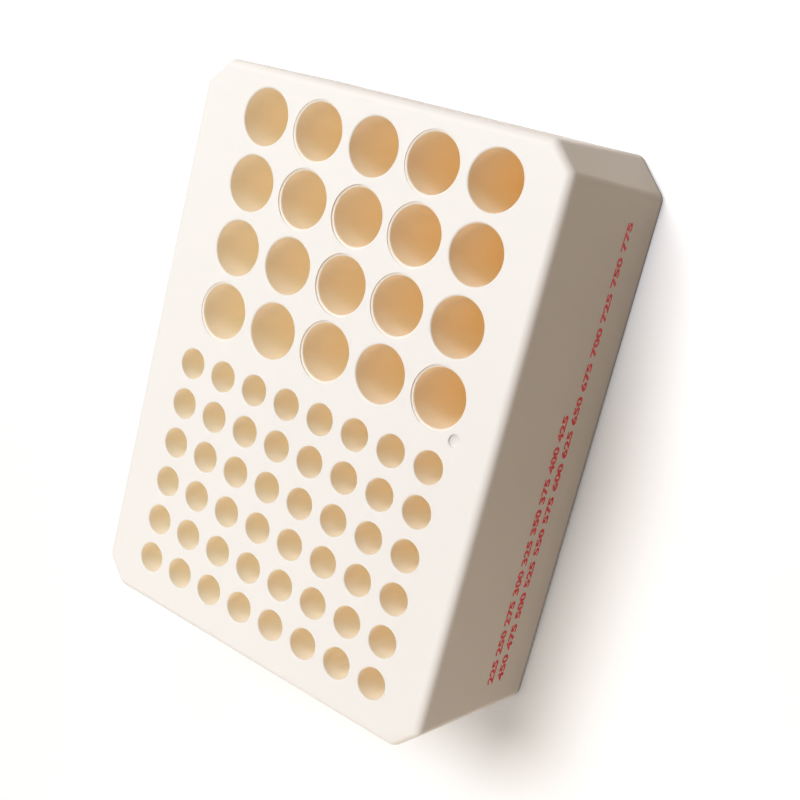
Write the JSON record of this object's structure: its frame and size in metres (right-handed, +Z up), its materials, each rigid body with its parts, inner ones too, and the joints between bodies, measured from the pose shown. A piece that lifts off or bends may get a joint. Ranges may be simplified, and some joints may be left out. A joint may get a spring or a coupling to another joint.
{
  "type": "microcentrifuge tube rack",
  "caption": "Drafted plastic bench block with cut corners, a grid of large closed wells and a grid of small ones, filled with cooling gel to keep tubes cold.",
  "frame": {"origin": "centre of the bounding box on the surface that the block stands on", "axes": "+Z up out of the deck, +Y along the long side towards the large wells, +X along the short side towards the side that carries the two printed lines"},
  "size_m": [0.0928, 0.1208, 0.036],
  "materials": {
    "housing_plastic": "satin",
    "base_plastic": "satin",
    "gel": "gloss",
    "plug_plastic": "satin"
  },
  "bodies": {
    "root": {"well_housing": "housing_plastic", "base_plate": "base_plastic", "coolant_gel": "gel", "fill_plug": "plug_plastic"}
  },
  "joints": []
}
